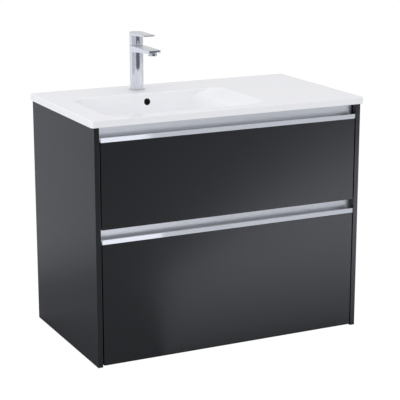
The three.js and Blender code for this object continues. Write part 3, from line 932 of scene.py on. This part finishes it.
def trap():
    """The bottle trap: domed body with a collared outlet, ribbed neck nut, ribbed cup and outlet pipe."""
    low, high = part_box("trap_body")
    body = (high.x - low.x) / 2
    neck, wall = 16 * MM, body - 2 * MM
    shoulder, dome, dome_edge = low.z + 36 * MM, 10 * MM, neck + 1 * MM
    section = [(AXIS, low.z), (body - 0.6 * MM, low.z), (body, low.z + 0.6 * MM), (body, low.z + 7 * MM)]
    section += [(body - 0.6 * MM, low.z + 7.6 * MM), (wall, low.z + 8 * MM)]
    for i in range(9):
        a = math.pi / 2 * i / 8
        section.append((dome_edge + (wall - dome_edge) * math.cos(a), shoulder + dome * math.sin(a)))
    section += [(neck, shoulder + dome + 1 * MM), (neck, high.z - 0.6 * MM), (neck - 0.6 * MM, high.z)]
    section += [(AXIS, high.z)]
    pipe_low, pipe_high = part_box("trap_outlet")
    outlet_z = (pipe_low.z + pipe_high.z) / 2
    collar, collar_end, collar_length = 19 * MM, high.y, 15 * MM
    start = collar_end - collar_length
    stub = [(collar - 2 * MM, WASTE_Y + wall / 2), (collar - 2 * MM, start + 1 * MM)]
    ring = [(AXIS, start, 0), (collar - 1 * MM, start, 0.6 * MM), (collar, start + 1 * MM, 1 * MM)]
    ring += [(collar, collar_end - 1 * MM, 1 * MM), (collar - 1 * MM, collar_end, 0.6 * MM)]
    ring += [(AXIS, collar_end, 0)]
    made = join_shells(
        turned(BOWL_CENTRE, WASTE_Y, section),
        turned_along_y(BOWL_CENTRE, outlet_z, stub),
        laid_along_y(grooved(0, 0, ring, ribs(20)), BOWL_CENTRE, outlet_z),
    )
    shape("trap_bottle", made, finishes[PLASTIC], "cabinet", ["trap_body"])

    pipe, pipe_wall = (pipe_high.x - pipe_low.x) / 2, 2 * MM
    section = [(pipe - pipe_wall, pipe_low.y), (pipe, pipe_low.y)]
    section += [(pipe, pipe_high.y), (pipe - pipe_wall, pipe_high.y)]
    made = turned_along_y(BOWL_CENTRE, outlet_z, chamfered(section, 0.4 * MM), looped=True)
    shape("trap_outlet_pipe", made, finishes[PLASTIC], "cabinet", ["trap_outlet"])

    low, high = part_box("trap_neck_nut")
    radius, bore, rib = (high.x - low.x) / 2, neck + GAP, 1.2 * MM
    section = [(bore, low.z, 0), (radius - 1.2 * MM, low.z, rib / 2), (radius, low.z + 1.2 * MM, rib)]
    section += [(radius, high.z - 2.4 * MM, rib), (radius - 1.6 * MM, high.z - 1.4 * MM, 0)]
    section += [(radius - 2 * MM, high.z, 0), (bore, high.z, 0)]
    made = grooved(BOWL_CENTRE, WASTE_Y, section, ribs(24), looped=True)
    shape("trap_compression_nut", made, finishes[PLASTIC], "cabinet", ["trap_neck_nut"])

    low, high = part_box("trap_cup")
    radius, rib = (high.x - low.x) / 2, 1.5 * MM
    section = [(AXIS, low.z, 0), (radius - 14 * MM, low.z, 0), (radius - 9 * MM, low.z + 1.2 * MM, 0)]
    section += [(radius - 6 * MM, low.z + 4 * MM, 0), (radius - 4.6 * MM, low.z + 8 * MM, 0)]
    section += [(radius - 3.6 * MM, low.z + 13 * MM, 0), (radius - 1 * MM, low.z + 14 * MM, rib)]
    section += [(radius, low.z + 15.5 * MM, rib), (radius, high.z - 1.2 * MM, rib)]
    section += [(radius - 1 * MM, high.z, rib / 2), (AXIS, high.z, 0)]
    made = grooved(BOWL_CENTRE, WASTE_Y, section, ribs(24))
    shape("trap_bottle_cup", made, finishes[PLASTIC], "cabinet", ["trap_cup"])


tap_fixings()
waste()
trap()

# ------------------------------------------------------------------ drawer handle profiles

LIP = 12.5 * MM  # over the front's top edge
LIP_STANDS_OUT = 1 * MM
SHEET = 1.6 * MM
FLANGE = 24 * MM  # down behind the front
FRONT_BOARD = 16 * MM
COVE = 7 * MM


def handle_profile(node, name, body):
    """An extruded profile: a lip over the front, a floor, a cove and a back wall, with a fixing flange
    below."""
    low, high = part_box(node)
    lip_face, back_face = low.y, high.y - SHEET
    flange_back = lip_face + LIP_STANDS_OUT + FRONT_BOARD + GAP + SHEET
    flange_face = flange_back - SHEET
    front_head = low.z + FLANGE
    lip_head = front_head + LIP
    under = front_head + GAP
    floor = under + SHEET
    inner = lip_face + SHEET
    section = [(lip_face, front_head), (inner, front_head), (inner, under), (flange_face, under)]
    section += [(flange_face, low.z), (flange_back, low.z), (flange_back, under), (high.y, under)]
    section += [(high.y, high.z - 0.3 * MM), (high.y - 0.3 * MM, high.z)]
    section += [(back_face + 0.3 * MM, high.z), (back_face, high.z - 0.3 * MM)]
    for i in range(13):
        a = -math.pi / 2 * i / 12
        section.append((back_face - COVE + COVE * math.cos(a), floor + COVE + COVE * math.sin(a)))
    section += [(inner, floor)]
    half = SHEET / 2
    for i in range(9):
        a = math.pi * i / 8
        section.append((lip_face + half + half * math.cos(a), lip_head - half + half * math.sin(a)))
    rings = [[(x, y, z) for y, z in section] for x in (low.x, high.x)]
    slot = "anodised_aluminium"
    grip = shape(name, skin(rings), finishes[slot], body, [node], 30)
    grip.data.materials.append(finishes["polished_aluminium"])
    for face in grip.data.polygons:
        if face.center.y < inner and face.center.z > front_head and abs(face.normal.x) < 0.5:
            face.material_index = 1


handle_profile("lower_drawer_handle", "lower_grip_profile", "lower_drawer")
handle_profile("upper_drawer_handle", "upper_grip_profile", "upper_drawer")

# ------------------------------------------------------------------ pieces that keep their CAD shape

slot_of = {part["node"]: part["material_slot"] for part in frame["record"]["subparts"]}
edge_round_of = {  # in millimetres
    "anthracite_lacquer": 0.6,
    "grey_melamine": 0.5,
    "zinc_steel": 0.25,
    "white_plastic": 0.8,
    "chrome_plate": 0.4,
    "black_rubber": 0.4,
    "anodised_aluminium": 0.2,
    "white_ceramic": 1,
}


CAD_WELD = 0.01 * MM
FLAT_DEGREES = 2  # facets that meet at less than this are one flat face
EASED_DEGREES = 35  # edges sharper than this are eased


def eased(piece, radius):
    """Joins a CAD piece's facets into whole faces and eases its edges."""
    weld = piece.modifiers.new("weld", "WELD")
    weld.merge_threshold = CAD_WELD
    flat = piece.modifiers.new("whole faces", "DECIMATE")
    flat.decimate_type, flat.angle_limit = "DISSOLVE", math.radians(FLAT_DEGREES)
    ease = piece.modifiers.new("eased edges", "BEVEL")
    ease.width, ease.segments, ease.limit_method = radius, 2, "ANGLE"
    ease.angle_limit = math.radians(EASED_DEGREES)


for name, piece in cad.items():
    if piece.hide_render:
        continue
    piece.data.materials.clear()
    piece.data.materials.append(finishes[slot_of[name]])
    eased(piece, edge_round_of[slot_of[name]] * MM)

# ------------------------------------------------------------------ studio

FLOOR_REACH = 40
FLOOR_Z = -0.5 * MM
PAPER_GREY = "#989a9e"
PAPER_LIGHT_GREY = "#9a9ca0"
CHARCOAL = "#66686d"
LIGHT_CHARCOAL = "#6c6e73"
WHITE = 1.02  # the paper and the room, as the eye sees them
BOUNCE = 0.85  # light the paper gives back to matt pieces
SKY = 0.97  # light all round on matt pieces
SKY_FRONT, SKY_BACK = 0.55, 0.72  # the studio as glossy pieces mirror it

# The cards that lie on the floor, as corners in metres, each where its pieces mirror the floor.
FRONT_CARD = [(-0.2, -0.24), (3.3, -0.24), (3.3, -3.5)]
FRONT_CARD += [(2.7, -3.05), (1.62, -2.25), (0.88, -1.6), (0.1, -0.9)]
GRIP_CARD = [(-1.6, -1.1), (0.2, -1.1), (1.14, -3.35), (-1.6, -3.35)]
TAP_FRONT_CARD = [(-1.52, -2.02), (-2.6, -3.7), (-3.9, -2.5), (-2.23, -1.33)]
TAP_LEFT_CARD = [(-6, 1.2), (0, 1.2), (0, 7), (-6, 7)]
CHARCOAL_CARD = [(-1.75, -2.5), (0.62, -2.5), (0.62, -3.6), (2.3, -3.75)]
CHARCOAL_CARD += [(3.6, -5.2), (3.6, -6.5), (-3.4, -6.5)]


def flat_piece(name, corners, z, finish):
    """A flat stage piece at one height, from its corners in metres."""
    mesh = bpy.data.meshes.new(name)
    mesh.from_pydata([(x, y, z) for x, y in corners], [], [tuple(range(len(corners)))])
    mesh.materials.append(finish)
    piece = bpy.data.objects.new(name, mesh)
    bpy.context.scene.collection.objects.link(piece)
    return piece


def studio_paper():
    """Seamless white paper, overexposed to the eye. Glossy pieces mirror it as the half-lit matt sheet it
    is, with the shade that the cabinet casts on it, and it throws a bright, even light up on matt ones."""
    made, tree, place = material("white studio paper")
    path = add(tree, "ShaderNodeLightPath")
    fibre = add(tree, "ShaderNodeTexNoise", values={"Scale": 3, "Detail": 1}, links={"Vector": place})
    tone = add(
        tree,
        "ShaderNodeMix",
        settings={"data_type": "RGBA"},
        values={"A": linear(PAPER_GREY), "B": linear(PAPER_LIGHT_GREY)},
        links={"Factor": fibre.outputs["Fac"]},
    )
    matt = add(tree, "ShaderNodeBsdfDiffuse", links={"Color": tone.outputs["Result"]})
    bounce = add(tree, "ShaderNodeEmission", values={"Color": linear("#fbfcff"), "Strength": BOUNCE})
    white = add(tree, "ShaderNodeEmission", values={"Strength": WHITE})
    lit = add(
        tree,
        "ShaderNodeMixShader",
        links={0: path.outputs["Is Diffuse Ray"], 1: matt.outputs["BSDF"], 2: bounce.outputs["Emission"]},
    )
    seen = add(
        tree,
        "ShaderNodeMixShader",
        links={0: path.outputs["Is Camera Ray"], 1: lit.outputs["Shader"], 2: white.outputs["Emission"]},
    )
    add(tree, "ShaderNodeOutputMaterial", links={"Surface": seen.outputs["Shader"]})
    return made


studio_floor = flat_piece(
    "studio_floor",
    [(sx * FLOOR_REACH, sy * FLOOR_REACH) for sx, sy in ((-1, -1), (1, -1), (1, 1), (-1, 1))],
    FLOOR_Z,
    studio_paper(),
)


def studio_world():
    """White to the eye, an even light on matt pieces, and in mirrors darker in front than behind."""
    world = bpy.data.worlds.new("studio")
    bpy.context.scene.world = world
    world.use_nodes = True
    tree = world.node_tree
    tree.nodes.clear()
    path = add(tree, "ShaderNodeLightPath")
    place = add(tree, "ShaderNodeTexCoord")
    axes = add(tree, "ShaderNodeSeparateXYZ", links={"Vector": place.outputs["Generated"]})
    mirrored = add(
        tree,
        "ShaderNodeMapRange",
        values={"From Min": -1, "From Max": 1, "To Min": SKY_FRONT, "To Max": SKY_BACK},
        links={"Value": axes.outputs["Y"]},
    )
    even = add(
        tree,
        "ShaderNodeMix",
        values={"A": SKY},
        links={"Factor": path.outputs["Is Glossy Ray"], "B": mirrored.outputs["Result"]},
    )
    seen = add(
        tree,
        "ShaderNodeMix",
        values={"B": WHITE},
        links={"Factor": path.outputs["Is Camera Ray"], "A": even.outputs["Result"]},
    )
    sky = add(
        tree,
        "ShaderNodeBackground",
        values={"Color": linear("#fdfdff")},
        links={"Strength": seen.outputs["Result"]},
    )
    add(tree, "ShaderNodeOutputWorld", links={"Surface": sky.outputs["Background"]})


studio_world()
bpy.context.scene.view_settings.view_transform = "Standard"


def lighting_only(lamp, pieces):
    """Lets a light or a card light only these pieces."""
    lit = bpy.data.collections.new(lamp.name + "_lights")
    for piece in pieces:
        lit.objects.link(piece)
    lamp.light_linking.receiver_collection = lit


def reflector_card(name, corners, strength, pieces, fades=()):
    """A clear card with a glow of its own, low over the floor, that only some pieces mirror. Each fade
    is (axis, where the glow is nothing, where it is full)."""
    made, tree, place = material(name)
    axes = add(tree, "ShaderNodeSeparateXYZ", links={"Vector": place})
    level = add(tree, "ShaderNodeMath", settings={"operation": "MULTIPLY"}, values={0: strength, 1: 1.0})
    for axis, nothing, full in fades:
        fade = add(
            tree,
            "ShaderNodeMapRange",
            values={"From Min": nothing, "From Max": full},
            links={"Value": axes.outputs[axis]},
        )
        level = add(
            tree,
            "ShaderNodeMath",
            settings={"operation": "MULTIPLY"},
            links={0: level.outputs["Value"], 1: fade.outputs["Result"]},
        )
    glow = add(
        tree,
        "ShaderNodeEmission",
        values={"Color": linear("#f6f8ff")},
        links={"Strength": level.outputs["Value"]},
    )
    clear = add(tree, "ShaderNodeBsdfTransparent")
    both = add(tree, "ShaderNodeAddShader", links={0: glow.outputs["Emission"], 1: clear.outputs["BSDF"]})
    add(tree, "ShaderNodeOutputMaterial", links={"Surface": both.outputs["Shader"]})
    card = flat_piece(name, corners, FLOOR_Z + 2 * MM, made)
    card.visible_camera = False
    lighting_only(card, pieces)


lacquered = [piece for name, piece in cad.items() if slot_of[name] == "anthracite_lacquer"]
grips = [bpy.data.objects["lower_grip_profile"], bpy.data.objects["upper_grip_profile"]]
chromed = [bpy.data.objects[name] for name in ("tap_body_and_spout", "tap_lever_handle", "tap_base")]
reflector_card("front_card", FRONT_CARD, 2.4, lacquered, [("Y", -0.1, -1.15), ("Y", -3.5, -2.0)])
reflector_card("grip_card", GRIP_CARD, 0.4, grips)
reflector_card("tap_front_card", TAP_FRONT_CARD, 0.5, chromed)
reflector_card("tap_left_card", TAP_LEFT_CARD, 0.3, chromed)


def dark_card():
    """A matt charcoal card on the floor well in front, where only the tap and the lips mirror it."""
    made, tree, place = material("charcoal card")
    fibre = add(tree, "ShaderNodeTexNoise", values={"Scale": 30}, links={"Vector": place})
    tone = add(
        tree,
        "ShaderNodeMix",
        settings={"data_type": "RGBA"},
        values={"A": linear(CHARCOAL), "B": linear(LIGHT_CHARCOAL)},
        links={"Factor": fibre.outputs["Fac"]},
    )
    matt = add(tree, "ShaderNodeBsdfDiffuse", links={"Color": tone.outputs["Result"]})
    add(tree, "ShaderNodeOutputMaterial", links={"Surface": matt.outputs["BSDF"]})
    card = flat_piece("charcoal_card", CHARCOAL_CARD, FLOOR_Z + 1 * MM, made)
    card.visible_camera = False
    card.visible_diffuse = False


dark_card()


def softbox(name, place, aim, width, height, watts):
    """A soft rectangular light that points at a place and stays out of mirrors."""
    light = bpy.data.lights.new(name, "AREA")
    light.shape, light.size, light.size_y, light.energy = "RECTANGLE", width, height, watts
    lamp = bpy.data.objects.new(name, light)
    bpy.context.scene.collection.objects.link(lamp)
    lamp.location = place
    lamp.rotation_mode = "QUATERNION"
    lamp.rotation_quaternion = (Vector(aim) - Vector(place)).to_track_quat("-Z", "Y")
    lamp.visible_camera = False
    lamp.visible_glossy = False


def floor_sun(aim, strength, spread_degrees):
    """A soft sun on the floor alone, which lays the cabinet's shade on what the glossy pieces mirror."""
    light = bpy.data.lights.new("floor_sun", "SUN")
    light.energy, light.angle = strength, math.radians(spread_degrees)
    lamp = bpy.data.objects.new("floor_sun", light)
    bpy.context.scene.collection.objects.link(lamp)
    lamp.rotation_mode = "QUATERNION"
    lamp.rotation_quaternion = Vector(aim).to_track_quat("-Z", "Y")
    lighting_only(lamp, [studio_floor])


softbox("left_softbox", place=(-3.0, -0.6, 1.4), aim=(0, 0, 0.5), width=1.6, height=1.6, watts=12)
floor_sun(aim=(-0.75, 0.55, -0.75), strength=4.2, spread_degrees=25)
